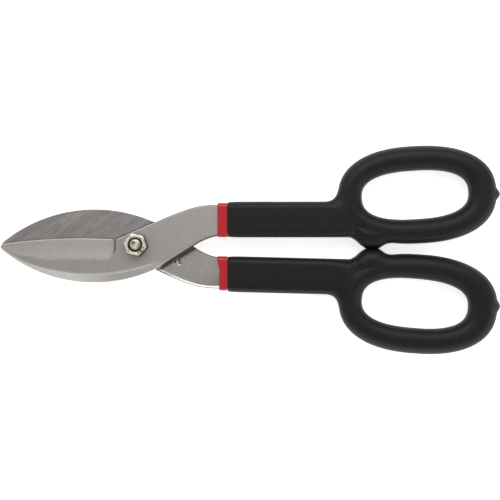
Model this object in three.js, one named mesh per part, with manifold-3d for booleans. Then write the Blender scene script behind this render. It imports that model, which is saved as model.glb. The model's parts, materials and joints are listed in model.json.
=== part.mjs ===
// Straight-pattern tinner's snips, 12 inch class, lying flat and closed.
//
// Units are millimetres, +Z is up. The origin is on the pivot axis, in the plane that the tool
// rests on. +X runs from the pivot to the handles, +Y to the handle of the front lever, and the
// nut is on top. The two levers are one forging turned over: each is drawn in its own lever
// frame (u along the tool, v across it, w out of the shear plane), with the tool's mirror axis
// at v = 0. The rear lever is the front one turned half a turn about that axis.

import * as THREE from 'three';
import { mergeVertices } from 'three/addons/utils/BufferGeometryUtils.js';
import Module from 'manifold-3d';

const wasm = await Module();
wasm.setup();

// ---- driving dimensions -------------------------------------------------------------------

const clearance = 0.3; // between pieces that touch on the real tool

// heights
const shearHeight = 7.5; // plane in which the blades meet, above the resting plane
const forgingHalf = 4.8; // blade and boss thickness, and half the thickness of the handle bar
const shearGap = clearance / 2; // from each blade's inner face to the shear plane
const gripHalf = shearHeight; // the grips reach down to the resting plane

// levers
const pivotOffset = 0.73; // pivot axis above the mirror axis
const rearSplay = THREE.MathUtils.degToRad(1.4); // the rear handle stands out by this much more
const splayCentre = new THREE.Vector3(12, 0, 0);

// blade: the back is one circular arc, the cutting edge a very flat curve
const backCentre = new THREE.Vector2(-25.9, 66.5);
const backRadius = 89;
const backFacet = 2; // degrees of arc for each facet of the back
const heelAngle = -66; // where the back ends, at the heel and at the tip, in degrees
const tipAngle = -130;
const tipNose = new THREE.Vector2(-83.8, 0.1); // the blunt point bends round this corner
const edgeTip = new THREE.Vector2(-82.2, 1.1);
const edgeHeel = new THREE.Vector2(-12.7, 3.8);
const edgeCrown = 1.9; // rise of the cutting edge over its chord
const edgeThickness = 2;
const bevelFoot = -8.7; // v at which the ground bevel runs out into the flat of the blade
const backChamferWidth = 5.4;
const backChamferDepth = 2.6;
const pointTaper = { start: -56, end: -84, drop: 1.9 }; // the blade thins towards its point
const bossCorner = new THREE.Vector2(10.6, 14.1);

// shank: heel line and the swing pocket that the other lever turns in
const heelStart = new THREE.Vector2(12.6, -14);
const heelEnd = new THREE.Vector2(34.2, -0.5);
const pocketDistance = 5.5; // from the other lever's heel line to the step in the shank
const shankEnd = 49.2; // the bare steel ends here and the collar begins

// handle bar and finger loop, over the grip
const bar = { start: 55.4, end: 140, low: 5.2, high: 27.1, bevel: 3.5 };
const loopForm = { exponent: 2.35, tilt: 2.7 };
const holeForm = { exponent: 2.53, tilt: 3.65 };
const loopBevel = 4.6;
const front = {
  holeV: pivotOffset,
  splay: 0,
  loop: { u: 172.1, v: 31.4, a: 48.5, b: 30, ...loopForm },
  hole: { u: 170.8, v: 31.3, a: 32.8, b: 14.8, ...holeForm },
  nubProud: 2,
};
const rear = {
  holeV: -pivotOffset,
  splay: rearSplay,
  loop: { u: 173.4, v: 31.7, a: 48.6, b: 30.5, ...loopForm },
  hole: { u: 171.5, v: 31.4, a: 32.7, b: 15, ...holeForm },
  nubProud: 1.4,
};
const loopPoints = 52; // corners of the polygons that stand for the loop and its hole
const holePoints = 40;
const coreInset = 2.1; // from the grip's surface to the steel
const coreLow = 7; // lower edge of the steel bar, where both grips are thinner
const coreHigh = bar.high - coreInset;

// closing stop and drip nub, moulded on the grip
const stop = { start: 141, end: 148.2, face: -1.45, root: 5.8, rise: 7, half: 6, bevel: 1.2 };
const nub = { radius: 2.6, v: 31.9 };

// collar: a lip in front of the grip and a thinner sleeve that tucks in under it
const collar = { start: 49.5, lipEnd: 55.1, end: 66, inner: 0.3, sleeve: 0.8, lip: 1.2 };
const collarHalf = { inner: 5.1, sleeve: 5.8, lip: 6.2 };

// pivot bolt (5/16 in) and nut (1/2 in across the flats)
const boltRadius = 3.8;
const boltBore = boltRadius + clearance;
const head = { radius: 8, height: 2.4, chamfer: 0.7 };
const nut = { flats: 12.7, height: 6.75, turn: -13, chamfer: 1.1, countersink: 4.5 };
const boltEndDome = 0.9;
const boltEndRadius = 3.2;
const boltBelowNut = 0.15;

// ---- solids -------------------------------------------------------------------------------

function solidOf(geometry) {
  const bare = geometry.index ? geometry.toNonIndexed() : geometry.clone();
  bare.deleteAttribute('normal');
  bare.deleteAttribute('uv');
  const merged = mergeVertices(bare, 1e-4);
  return new wasm.Manifold(new wasm.Mesh({
    numProp: 3,
    vertProperties: new Float32Array(merged.attributes.position.array),
    triVerts: new Uint32Array(merged.index.array),
  }));
}

function meshOf(name, solid, material) {
  const cut = solid.getMesh();
  const geometry = new THREE.BufferGeometry();
  geometry.setAttribute('position', new THREE.BufferAttribute(cut.vertProperties, 3));
  geometry.setIndex(new THREE.BufferAttribute(cut.triVerts, 1));
  geometry.computeVertexNormals();
  const mesh = new THREE.Mesh(geometry, material);
  mesh.name = name;
  return mesh;
}

// A flat outline raised from w = low to w = high, its rims rounded by bevel.
function raise(shape, low, high, bevel = 0, curveSegments = 24) {
  const geometry = new THREE.ExtrudeGeometry(shape, {
    depth: high - low - 2 * bevel,
    bevelEnabled: bevel > 0,
    bevelThickness: bevel,
    bevelSize: bevel,
    bevelOffset: -bevel,
    bevelSegments: 3,
    curveSegments,
  });
  geometry.translate(0, 0, low + bevel);
  return geometry;
}

function rectangle(left, right, low, high) {
  const shape = new THREE.Shape();
  shape.moveTo(left, low);
  shape.lineTo(right, low);
  shape.lineTo(right, high);
  shape.lineTo(left, high);
  shape.closePath();
  return shape;
}

// The stop widens at 45 degrees from its face to its root, then runs straight into the grip.
function stopShape() {
  const spread = stop.root - stop.face;
  const shape = new THREE.Shape();
  shape.moveTo(stop.start, stop.face);
  shape.lineTo(stop.end, stop.face);
  shape.lineTo(stop.end + spread, stop.root);
  shape.lineTo(stop.end + spread, stop.root + stop.rise);
  shape.lineTo(stop.start - spread, stop.root + stop.rise);
  shape.lineTo(stop.start - spread, stop.root);
  shape.closePath();
  return shape;
}

// Points of a superellipse, drawn in by inset.
function superellipse({ u, v, a, b, exponent, tilt }, inset, count) {
  const centre = new THREE.Vector2(u, v);
  const turn = THREE.MathUtils.degToRad(tilt);
  const power = 2 / exponent;
  const points = [];
  for (let i = 0; i < count; i += 1) {
    const angle = (2 * Math.PI * i) / count;
    const c = Math.cos(angle);
    const s = Math.sin(angle);
    const x = (a - inset) * Math.sign(c) * Math.abs(c) ** power;
    const y = (b - inset) * Math.sign(s) * Math.abs(s) ** power;
    points.push(new THREE.Vector2(x, y).rotateAround(new THREE.Vector2(), turn).add(centre));
  }
  return points;
}

function loopShape({ loop, hole }, inset) {
  const shape = new THREE.Shape(superellipse(loop, inset, loopPoints));
  shape.holes.push(new THREE.Path(superellipse(hole, -inset, holePoints)));
  return shape;
}

function holeShape({ hole }, inset) {
  return new THREE.Shape(superellipse(hole, -inset, holePoints));
}

// Turns a handle's geometry out by the splay, about the shank.
function splayed(geometry, splay) {
  geometry.translate(-splayCentre.x, -splayCentre.y, 0);
  geometry.rotateZ(splay);
  geometry.translate(splayCentre.x, splayCentre.y, 0);
  return geometry;
}

// ---- forging: blade, boss, shank and the steel core of the handle ----------------------------

function bladeShape() {
  const heelTurn = THREE.MathUtils.degToRad(heelAngle);
  const tipTurn = THREE.MathUtils.degToRad(tipAngle);
  const crownControl = edgeTip.clone().add(edgeHeel).multiplyScalar(0.5);
  crownControl.y += 2 * edgeCrown;
  const shape = new THREE.Shape();
  shape.absarc(backCentre.x, backCentre.y, backRadius, heelTurn, tipTurn, true);
  shape.quadraticCurveTo(tipNose.x, tipNose.y, edgeTip.x, edgeTip.y);
  shape.quadraticCurveTo(crownControl.x, crownControl.y, edgeHeel.x, edgeHeel.y);
  shape.lineTo(bossCorner.x, bossCorner.y);
  shape.lineTo(heelStart.x, heelStart.y);
  shape.closePath();
  return shape;
}

// Shank outline from inside the boss to the collar.
function shankShape() {
  const insideBoss = [new THREE.Vector2(8, 12.5), new THREE.Vector2(8, -10)];
  const shape = new THREE.Shape();
  shape.moveTo(insideBoss[1].x, insideBoss[1].y);
  shape.lineTo(heelStart.x, heelStart.y);
  shape.lineTo(heelEnd.x, heelEnd.y);
  shape.splineThru([
    new THREE.Vector2(38.4, 2.1),
    new THREE.Vector2(42.1, 3.8),
    new THREE.Vector2(45.7, 5.2),
    new THREE.Vector2(shankEnd, 6),
  ]);
  shape.lineTo(shankEnd, coreHigh);
  shape.lineTo(44.6, coreHigh);
  shape.splineThru([
    new THREE.Vector2(38, 24.2),
    new THREE.Vector2(31.7, 22.5),
    new THREE.Vector2(20.6, 18.4),
    insideBoss[0],
  ]);
  shape.closePath();
  return shape;
}

// Wedge over the ground bevel: full depth at the cutting edge, none at its foot.
function bevelCutter() {
  const rise = 4;
  const slope = (forgingHalf - edgeThickness) / (edgeHeel.y - bevelFoot);
  const profile = new THREE.Shape();
  profile.moveTo(bevelFoot, forgingHalf);
  profile.lineTo(edgeHeel.y + rise, edgeThickness - slope * rise);
  profile.lineTo(edgeHeel.y + rise, forgingHalf + 1);
  profile.lineTo(bevelFoot, forgingHalf + 1);
  profile.closePath();
  const geometry = new THREE.ExtrudeGeometry(profile, { depth: 80, bevelEnabled: false });
  geometry.rotateY(Math.PI / 2);
  geometry.rotateX(Math.PI / 2);
  geometry.translate(edgeHeel.x - 80, 0, 0);
  return solidOf(geometry);
}

// Wedge that thins the blade towards its point.
function pointCutter() {
  const run = pointTaper.start - pointTaper.end;
  const slope = Math.atan2(pointTaper.drop, run);
  const box = new THREE.BoxGeometry(2 * run, 80, 10);
  box.translate(-run, 0, 5);
  box.rotateY(-slope);
  box.translate(pointTaper.start, 0, forgingHalf);
  return solidOf(box);
}

// Ring with a sloping inner side, kept to the blade, that chamfers the back.
function backCutter() {
  const profile = [
    new THREE.Vector2(backRadius - backChamferWidth, forgingHalf),
    new THREE.Vector2(backRadius + 4, forgingHalf - backChamferDepth * (1 + 4 / backChamferWidth)),
    new THREE.Vector2(backRadius + 4, forgingHalf + 1),
    new THREE.Vector2(backRadius - backChamferWidth, forgingHalf + 1),
    new THREE.Vector2(backRadius - backChamferWidth, forgingHalf),
  ];
  const ring = new THREE.LatheGeometry(profile, 360 / backFacet);
  ring.rotateX(Math.PI / 2);
  ring.translate(backCentre.x, backCentre.y, 0);
  const span = new THREE.BoxGeometry(120, 60, 40);
  span.translate(heelStart.x - 60, -20, 0);
  return solidOf(ring).intersect(solidOf(span));
}

// Space behind the shear plane that the other lever's boss and heel swing through.
function swingPocket() {
  const along = heelEnd.clone().sub(heelStart);
  const angle = Math.atan2(along.y, along.x);
  const depth = forgingHalf + 1 + shearGap;
  const box = new THREE.BoxGeometry(140, 80, depth);
  box.translate(0, pocketDistance - 40, shearGap - depth / 2);
  box.rotateZ(-angle);
  box.translate(heelStart.x, -heelStart.y, 0);
  return solidOf(box);
}

function forging(side) {
  const { holeV, splay } = side;
  const backFacets = (heelAngle - tipAngle) / backFacet;
  const blade = solidOf(raise(bladeShape(), shearGap, forgingHalf, 0, backFacets / 2));
  const shank = solidOf(splayed(raise(shankShape(), -forgingHalf, forgingHalf, 0, 10), splay));
  const core = solidOf(splayed(
    raise(rectangle(shankEnd - 4, bar.end, coreLow, coreHigh), -forgingHalf, forgingHalf),
    splay,
  ));
  const ring = solidOf(splayed(
    raise(loopShape(side, coreInset), -forgingHalf, forgingHalf),
    splay,
  ));
  const loopHole = solidOf(splayed(raise(holeShape(side, coreInset), -gripHalf, gripHalf), splay));
  const bore = new THREE.CylinderGeometry(boltBore, boltBore, 4 * gripHalf, 48);
  bore.rotateX(Math.PI / 2);
  bore.translate(0, holeV, 0);
  return blade
    .subtract(bevelCutter())
    .subtract(backCutter())
    .subtract(pointCutter())
    .add(shank.add(core).subtract(swingPocket()))
    .subtract(loopHole)
    .add(ring)
    .subtract(solidOf(bore));
}

// ---- collar and grip --------------------------------------------------------------------------

// A block round the steel bar, standing off it by stand in the plane.
function sleeve(left, right, stand, half, bevel) {
  return raise(rectangle(left, right, coreLow - stand, coreHigh + stand), -half, half, bevel);
}

function collarSolid({ splay }) {
  const lip = sleeve(collar.start, collar.lipEnd, collar.lip, collarHalf.lip, 1);
  const tucked = sleeve(collar.start + 2, collar.end, collar.sleeve, collarHalf.sleeve, 0.6);
  const inside = sleeve(collar.start - 5, collar.end + 5, collar.inner, collarHalf.inner, 0);
  return solidOf(splayed(lip, splay))
    .add(solidOf(splayed(tucked, splay)))
    .subtract(solidOf(splayed(inside, splay)));
}

function gripSolid(side) {
  const place = (geometry) => solidOf(splayed(geometry, side.splay));
  const coreHalf = forgingHalf + clearance;
  const barSolid = place(raise(
    rectangle(bar.start, bar.end, bar.low, bar.high), -gripHalf, gripHalf, bar.bevel,
  ));
  const loopSolid = place(raise(loopShape(side, 0), -gripHalf, gripHalf, loopBevel));
  const loopHole = place(raise(holeShape(side, 0), -gripHalf, gripHalf));
  const stopSolid = place(raise(stopShape(), -stop.half, stop.half, stop.bevel));
  const drop = new THREE.SphereGeometry(nub.radius, 16, 10);
  drop.translate(side.loop.u + side.loop.a + side.nubProud - nub.radius, nub.v, 0);
  const coreBar = sleeve(bar.start - 5, bar.end, clearance, coreHalf, 0);
  const coreLoop = raise(loopShape(side, coreInset - clearance), -coreHalf, coreHalf);
  const collarSpace = sleeve(
    bar.start - 5, collar.end + clearance, collar.sleeve + clearance,
    collarHalf.sleeve + clearance, 0,
  );
  const steel = place(coreBar)
    .subtract(place(raise(holeShape(side, coreInset - clearance), -gripHalf, gripHalf)))
    .add(place(coreLoop));
  return barSolid
    .subtract(loopHole)
    .add(loopSolid)
    .add(stopSolid)
    .add(place(drop))
    .subtract(steel)
    .subtract(place(collarSpace));
}

// ---- pivot bolt and nut -----------------------------------------------------------------------

const nutBase = shearHeight + forgingHalf + clearance;
const nutTop = nutBase + nut.height;

function boltSolid() {
  const end = nutTop - boltBelowNut;
  const profile = [
    new THREE.Vector2(0, 0),
    new THREE.Vector2(head.radius - head.chamfer, 0),
    new THREE.Vector2(head.radius, head.chamfer),
    new THREE.Vector2(head.radius, head.height),
    new THREE.Vector2(boltRadius, head.height),
    new THREE.Vector2(boltRadius, end - 2 * boltEndDome),
    new THREE.Vector2(boltEndRadius, end - boltEndDome),
    new THREE.Vector2(boltEndRadius * 0.7, end - 0.3 * boltEndDome),
    new THREE.Vector2(0, end),
  ];
  const geometry = new THREE.LatheGeometry(profile, 48);
  geometry.rotateX(Math.PI / 2);
  return solidOf(geometry);
}

function nutSolid() {
  const cornerRadius = nut.flats / Math.sqrt(3);
  const prism = new THREE.CylinderGeometry(cornerRadius, cornerRadius, nut.height, 6);
  prism.rotateX(Math.PI / 2);
  prism.rotateZ(THREE.MathUtils.degToRad(nut.turn + 90));
  prism.translate(0, 0, nutBase + nut.height / 2);
  const rimDrop = 0.6 * nut.chamfer;
  const rounded = new THREE.LatheGeometry([
    new THREE.Vector2(0, nutBase - 1),
    new THREE.Vector2(cornerRadius + 0.2, nutBase - 1),
    new THREE.Vector2(cornerRadius + 0.2, nutTop - rimDrop),
    new THREE.Vector2(cornerRadius - nut.chamfer, nutTop),
    new THREE.Vector2(0, nutTop),
  ], 48);
  rounded.rotateX(Math.PI / 2);
  const sink = nut.countersink - boltBore;
  const bore = new THREE.LatheGeometry([
    new THREE.Vector2(0, nutBase - 1),
    new THREE.Vector2(boltBore, nutBase - 1),
    new THREE.Vector2(boltBore, nutTop - sink),
    new THREE.Vector2(nut.countersink + 1, nutTop + 1),
    new THREE.Vector2(0, nutTop + 1),
  ], 48);
  bore.rotateX(Math.PI / 2);
  return solidOf(prism).intersect(solidOf(rounded)).subtract(solidOf(bore));
}

// ---- assembly -----------------------------------------------------------------------------------

function metal(color, roughness) {
  return new THREE.MeshStandardMaterial({ color, roughness, metalness: 1 });
}

function vinyl(color, roughness) {
  return new THREE.MeshStandardMaterial({ color, roughness, metalness: 0 });
}

const forgedSteel = metal(0x8f8c88, 0.5);
const platedSteel = metal(0xe2dfd0, 0.22);
const blackVinyl = vinyl(0x262628, 0.42);
const redVinyl = vinyl(0xb82a34, 0.3);

function lever(name, side) {
  const group = new THREE.Group();
  group.position.set(0, -pivotOffset, shearHeight);
  group.add(meshOf(`${name}_blade`, forging(side), forgedSteel));
  group.add(meshOf(`${name}_collar`, collarSolid(side), redVinyl));
  group.add(meshOf(`${name}_grip`, gripSolid(side), blackVinyl));
  return group;
}

const snips = new THREE.Group();
const frontLever = lever('front', front);
const rearLever = lever('rear', rear);
rearLever.rotation.x = Math.PI;
snips.add(frontLever, rearLever);
snips.add(meshOf('pivot_bolt', boltSolid(), platedSteel));
snips.add(meshOf('pivot_nut', nutSolid(), platedSteel));

export default snips;
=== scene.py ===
"""Straight-pattern tin snips, 12 inch class: the looks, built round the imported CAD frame.

Each lever is drawn in its own frame, in millimetres: u along the tool from the pivot, v across
it from the tool's mirror axis, w out of the plane in which the blades meet. place() takes such
points to the row frame, in metres. The rear lever is the front one turned over about the
mirror axis, with its handle splayed a little further out.
"""

import functools
import json
import math

import bmesh
import bpy
import numpy as np
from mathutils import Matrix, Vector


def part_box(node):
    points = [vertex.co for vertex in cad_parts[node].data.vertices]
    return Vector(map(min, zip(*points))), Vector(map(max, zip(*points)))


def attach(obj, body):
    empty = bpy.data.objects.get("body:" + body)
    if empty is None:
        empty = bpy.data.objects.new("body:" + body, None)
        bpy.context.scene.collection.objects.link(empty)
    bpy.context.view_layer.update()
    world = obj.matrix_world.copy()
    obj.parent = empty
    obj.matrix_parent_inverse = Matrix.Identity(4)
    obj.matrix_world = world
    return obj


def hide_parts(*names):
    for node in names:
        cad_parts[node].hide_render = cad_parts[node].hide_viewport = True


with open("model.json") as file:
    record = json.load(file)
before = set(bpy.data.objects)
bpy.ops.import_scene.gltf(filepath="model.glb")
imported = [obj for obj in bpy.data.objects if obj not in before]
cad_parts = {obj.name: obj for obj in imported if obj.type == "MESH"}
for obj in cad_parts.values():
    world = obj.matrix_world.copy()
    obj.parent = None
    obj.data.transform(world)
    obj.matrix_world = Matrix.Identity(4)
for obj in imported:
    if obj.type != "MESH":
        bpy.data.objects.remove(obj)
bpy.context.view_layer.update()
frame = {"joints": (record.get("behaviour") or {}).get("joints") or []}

MM = 0.001


def box_mm(node):
    """Lowest and highest corner of a CAD node, in millimetres."""
    return tuple(np.array(corner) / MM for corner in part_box(node))


# ---- what the frame gives ---------------------------------------------------------------------

FRONT_BLADE = box_mm("front_blade")
REAR_BLADE = box_mm("rear_blade")
FRONT_GRIP = box_mm("front_grip")
NUT = box_mm("pivot_nut")
BOLT = box_mm("pivot_bolt")
PIVOT = np.array(frame["joints"][0]["pos_m"]) / MM

SHEAR_Z = (FRONT_GRIP[0][2] + FRONT_GRIP[1][2]) / 2  # plane in which the blades meet
GRIP_HALF = (FRONT_GRIP[1][2] - FRONT_GRIP[0][2]) / 2
FORGING_HALF = FRONT_BLADE[1][2] - SHEAR_Z  # height of a forging's outer face
MIRROR_Y = (FRONT_BLADE[0][1] + REAR_BLADE[1][1]) / 2
POINT_U = FRONT_BLADE[0][0]
BAR_START = FRONT_GRIP[0][0]

# ---- driving dimensions of a forging, in millimetres ------------------------------------------

INNER_W = 0.15  # each blade's own share of the gap between them

BACK_CENTRE = np.array([-25.9, 66.5])
BACK_RADIUS = 89.0
BACK_END_U = 15.0  # the arc of the back runs into the heel line here
EDGE_TIP = np.array([-82.2, 1.1])
EDGE_HEEL = np.array([-12.7, 3.8])
EDGE_CROWN = 1.9  # rise of the cutting edge over its chord
EDGE_THICKNESS = 2.0
BEVEL_FOOT_V = -8.7
SHOULDER_CURVE_V = -2.4  # below this the end of the bevel curves back to the blade
SHOULDER_CURVE = 0.277
SHOULDER_POWER = 1.43
NOSE_LENGTH = 1.2
TAPER_START_U = -55.0
TAPER_SLOPE = 0.064

CHAMFER_WIDTH = [(-84.0, 0.6), (-79.0, 1.1), (-70.0, 2.0), (-58.0, 3.4), (-45.0, 4.7),
                 (-26.0, 5.4), (-8.0, 5.1), (12.0, 3.5), (20.0, 2.3), (30.0, 1.6), (160.0, 1.4)]
CHAMFER_SLOPE = 0.5

HEEL = [(12.6, -14.0), (23.4, -7.25), (34.2, -0.5), (38.4, 2.1), (42.1, 3.8), (45.7, 5.2),
        (49.2, 5.9), (56.0, 6.6), (160.0, 6.6)]
TOP = [(-12.7, 3.8), (-1.5, 8.8), (10.6, 14.1), (20.6, 18.4), (31.7, 22.5), (38.5, 24.3),
       (44.6, 25.0), (56.0, 25.0), (160.0, 25.0)]
HEEL_ANGLE = math.atan2(HEEL[2][1] - HEEL[0][1], HEEL[2][0] - HEEL[0][0])
HEEL_COS = 0.87  # square distance from the heel line over distance along v
BOSS_COS = 0.91  # the same for the boss's straight upper edge
SHANK_START_U = 12.0  # the handle is splayed about this point of the mirror axis

STEP_SHARE, STEP_RUN = 0.09, 2.6  # the low step where the shank leaves the shear plane
RISE_RUN = 24.0  # the rest of the thickness comes over this distance
DRAFT_WIDTH = 1.3  # drafted side of the shank, as seen from above
DRAFT_SLOPE = 1.8
CORE_END_U = 126.0
CORE_INSET = 2.1
PUNCH_CENTRES = ((23.4, 9.4), (25.4, 8.1), (26.4, 10.0))
PUNCH_DEPTH, PUNCH_SPREAD = 0.8, 0.5
PIVOT_BORE = 4.1

POINTS_ACROSS = 112  # in one cross-section of the loft, on each face
BAR_SECTIONS_U = 58.0  # cross-sections are wider apart from here, inside the grip

# ---- driving dimensions of the bolt and nut ---------------------------------------------------

SIXTH = math.pi / 3
NUT_FLATS = 12.2 / 2  # from the axis to a flat
NUT_TURN = math.radians(-13)
NUT_FLECKS = ((3.6, -3.9, 0.75), (2.2, -4.9, 0.45), (-4.0, -3.4, 0.45), (3.4, 3.6, 0.4),
              (5.2, -1.9, 0.45))  # x, y and size of the dark flecks on its face
NUT_CHAMFER = math.radians(16)  # slope of its chamfered corners
NUT_MOUTH_RADIUS = 4.75  # where its top begins to fall into the bore
THREAD_PITCH = 25.4 / 18
THREAD_DEPTH = 0.42
BOLT_THREAD_RADIUS = 3.8
BOLT_END_RADIUS = 3.35
BOLT_SHANK_RADIUS = 3.85
HEAD_HEIGHT = 2.4
HEAD_EDGE = 0.8  # rounding of the head's outer edge
THREAD_START_Z = 12.6

# ---- driving dimensions of the grip and collar ------------------------------------------------

BAR_LOW, BAR_HIGH = 5.2, 27.1
BAR_END = 136.0
LOOP_FORM = {"exponent": 2.35, "tilt": 2.7}
HOLE_FORM = {"exponent": 2.53, "tilt": 3.65}
STOP_FACE_U = (140.3, 148.6)
STOP_FACE_V = -1.57
STOP_FLANKS = [(152.3, 0.9), (156.6, 4.0), (156.6, 14.0), (130.0, 14.0), (132.9, 4.6),
               (137.2, 0.5)]
NUB_V = 31.9
NUB_RADIUS = 2.2
LIP_PROUD, LIP_LENGTH = 0.5, 2.5  # the grip is this much wider at its mouth
MOUTH_THINNING, MOUTH_LENGTH = 0.9, 3.5  # and this much thinner
COLLAR_PROUD = 1.15
COLLAR_TAIL = 6.0  # hidden length of the collar under the grip
GRIP_CELL, COLLAR_CELL = 0.8, 0.45  # grid steps of the nets that find their surfaces

# The two levers. turn is -1 for the one that is turned over. Loop and hole are superellipses with
# centre (u, v) and half-axes a and b. A pair is the place at the bar's lower and upper edge:
# collar_start is the collar's lip, and collar_end the mouth of the grip that covers the rest.
SIDES = {
    "front": {
        "turn": 1,
        "splay": 0.0,
        "body": "front_lever",
        "loop": {"u": 172.1, "v": 31.4, "a": 48.5, "b": 30.0, **LOOP_FORM},
        "hole": {"u": 170.8, "v": 31.3, "a": 32.8, "b": 14.8, **HOLE_FORM},
        "nub_proud": 2.0,
        "collar_start": (49.5, 49.5),
        "collar_end": (55.4, 55.4),
    },
    "rear": {
        "turn": -1,
        "splay": math.radians(1.4),
        "body": "rear_lever",
        "loop": {"u": 173.4, "v": 31.7, "a": 48.6, "b": 30.5, **LOOP_FORM},
        "hole": {"u": 171.5, "v": 31.4, "a": 32.7, "b": 15.0, **HOLE_FORM},
        "nub_proud": 1.4,
        "collar_start": (49.2, 51.1),
        "collar_end": (55.6, 56.4),
    },
}


# ---- points, curves and meshes ------------------------------------------------------------------

def smoothstep(x, low, high):
    """0 below low, 1 above high, and a smooth rise between."""
    t = np.clip((x - low) / (high - low), 0.0, 1.0)
    return t * t * (3.0 - 2.0 * t)


def smooth_min(a, b, radius):
    """The lesser of two values, rounded off where they are closer than radius."""
    h = np.clip(0.5 + 0.5 * (b - a) / radius, 0.0, 1.0)
    return b * (1.0 - h) + a * h - radius * h * (1.0 - h)


def smooth_max(a, b, radius):
    """The greater of two values, rounded off in the same way."""
    return -smooth_min(-a, -b, radius)


def through(points):
    """A smooth function of u through a few points: a cubic with averaged slopes."""
    us, vs = np.array(points, float).T
    steps = np.diff(vs) / np.diff(us)
    slopes = np.concatenate(([steps[0]], (steps[:-1] + steps[1:]) / 2, [steps[-1]]))

    def value(u):
        u = np.clip(u, us[0], us[-1])
        i = np.clip(np.searchsorted(us, u) - 1, 0, len(us) - 2)
        width = us[i + 1] - us[i]
        t = (u - us[i]) / width
        rise = (vs[i] * (1 + 2 * t) * (1 - t) ** 2 + vs[i + 1] * t * t * (3 - 2 * t))
        lean = width * (slopes[i] * t * (1 - t) ** 2 - slopes[i + 1] * t * t * (1 - t))
        return rise + lean

    return value


def superellipse(form, inset=0.0, count=160):
    """Corners of a superellipse, drawn in by inset."""
    angle = np.linspace(0.0, 2.0 * math.pi, count, endpoint=False)
    power = 2.0 / form["exponent"]
    c, s = np.cos(angle), np.sin(angle)
    x = (form["a"] - inset) * np.sign(c) * np.abs(c) ** power
    y = (form["b"] - inset) * np.sign(s) * np.abs(s) ** power
    turn = math.radians(form["tilt"])
    return np.column_stack((
        form["u"] + x * math.cos(turn) - y * math.sin(turn),
        form["v"] + x * math.sin(turn) + y * math.cos(turn),
    ))


def polygon_distance(points, corners):
    """Distance from points in the plane to a closed polygon, negative inside it."""
    nearest = np.full(len(points), np.inf)
    inside = np.zeros(len(points), bool)
    for start, end in zip(corners, np.roll(corners, -1, axis=0)):
        edge = end - start
        away = points - start
        along = np.clip(away @ edge / (edge @ edge), 0.0, 1.0)
        nearest = np.minimum(nearest, ((away - along[:, None] * edge) ** 2).sum(1))
        if start[1] != end[1]:
            spans = (start[1] > points[:, 1]) != (end[1] > points[:, 1])
            inside ^= spans & (away[:, 0] < edge[0] * away[:, 1] / edge[1])
    return np.where(inside, -1.0, 1.0) * np.sqrt(nearest)


def splay(points, side, blend_width=0.0):
    """Turns points of a handle out by the side's splay, about the start of the shank."""
    points = np.array(points, float)
    weight = 1.0
    if blend_width:
        weight = smoothstep(points[:, 0], SHANK_START_U - blend_width,
                            SHANK_START_U + blend_width)
    angle = side["splay"] * weight
    u, v = points[:, 0] - SHANK_START_U, points[:, 1].copy()
    points[:, 0] = SHANK_START_U + u * np.cos(angle) - v * np.sin(angle)
    points[:, 1] = u * np.sin(angle) + v * np.cos(angle)
    return points


def place(points, side):
    """Lever frame in millimetres to row frame in metres."""
    u, v, w = np.asarray(points, float).T
    turn = side["turn"]
    return np.column_stack((u, MIRROR_Y + turn * v, SHEAR_Z + turn * w)) * MM


def add_mesh(name, points, faces, material):
    """A smooth-shaded mesh object of one material, its faces turned outwards."""
    mesh = bpy.data.meshes.new(name)
    mesh.from_pydata([tuple(p) for p in points], [], [tuple(int(i) for i in f) for f in faces])
    mesh.validate()
    shell = bmesh.new()
    shell.from_mesh(mesh)
    bmesh.ops.recalc_face_normals(shell, faces=shell.faces)
    shell.to_mesh(mesh)
    shell.free()
    mesh.polygons.foreach_set("use_smooth", [True] * len(mesh.polygons))
    mesh.materials.append(material)
    piece = bpy.data.objects.new(name, mesh)
    bpy.context.scene.collection.objects.link(piece)
    return piece


def bore(piece, radius):
    """Cuts a round hole through a piece on the pivot's axis."""
    angle = np.linspace(0.0, 2 * math.pi, 96, endpoint=False)
    ring = np.column_stack((PIVOT[0] + radius * np.cos(angle), PIVOT[1] + radius * np.sin(angle)))
    below, above = -20.0, 40.0  # both well clear of the piece
    low = np.column_stack((ring, np.full(len(ring), below)))
    high = np.column_stack((ring, np.full(len(ring), above)))
    points = np.concatenate((low[:, None], high[:, None]), axis=1).reshape(-1, 3) * MM
    faces = [tuple(f) for f in grid_faces(len(ring), 2, wrap_rows=True)]
    faces += [tuple(range(0, len(points), 2)), tuple(range(1, len(points), 2))]
    cutter = add_mesh("cutter", points, faces, piece.data.materials[0])
    cut = piece.modifiers.new("bore", "BOOLEAN")
    cut.operation = "DIFFERENCE"
    cut.solver = "EXACT"
    cut.object = cutter
    settled = piece.evaluated_get(bpy.context.evaluated_depsgraph_get())
    mesh = bpy.data.meshes.new_from_object(settled)
    piece.modifiers.clear()
    piece.data = mesh
    bpy.data.objects.remove(cutter)


def add_attribute(piece, name, values):
    """Gives each vertex of a piece a number that its material can read."""
    attribute = piece.data.attributes.new(name, "FLOAT", "POINT")
    attribute.data.foreach_set("value", np.asarray(values, np.float32).ravel())


def grid_faces(rows, columns, wrap_rows=False, wrap_columns=False):
    """Quads of a rows by columns grid of points, numbered row by row."""
    i = np.arange(rows if wrap_rows else rows - 1)
    j = np.arange(columns if wrap_columns else columns - 1)
    i, j = (a.ravel() for a in np.meshgrid(i, j, indexing="ij"))
    next_i, next_j = (i + 1) % rows, (j + 1) % columns
    return np.column_stack((i * columns + j, next_i * columns + j,
                            next_i * columns + next_j, i * columns + next_j))


def neighbours(value, axis):
    """A grid's values at the near and the far end of every step along an axis."""
    size = value.shape[axis]
    return np.take(value, range(size - 1), axis), np.take(value, range(1, size), axis)


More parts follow.
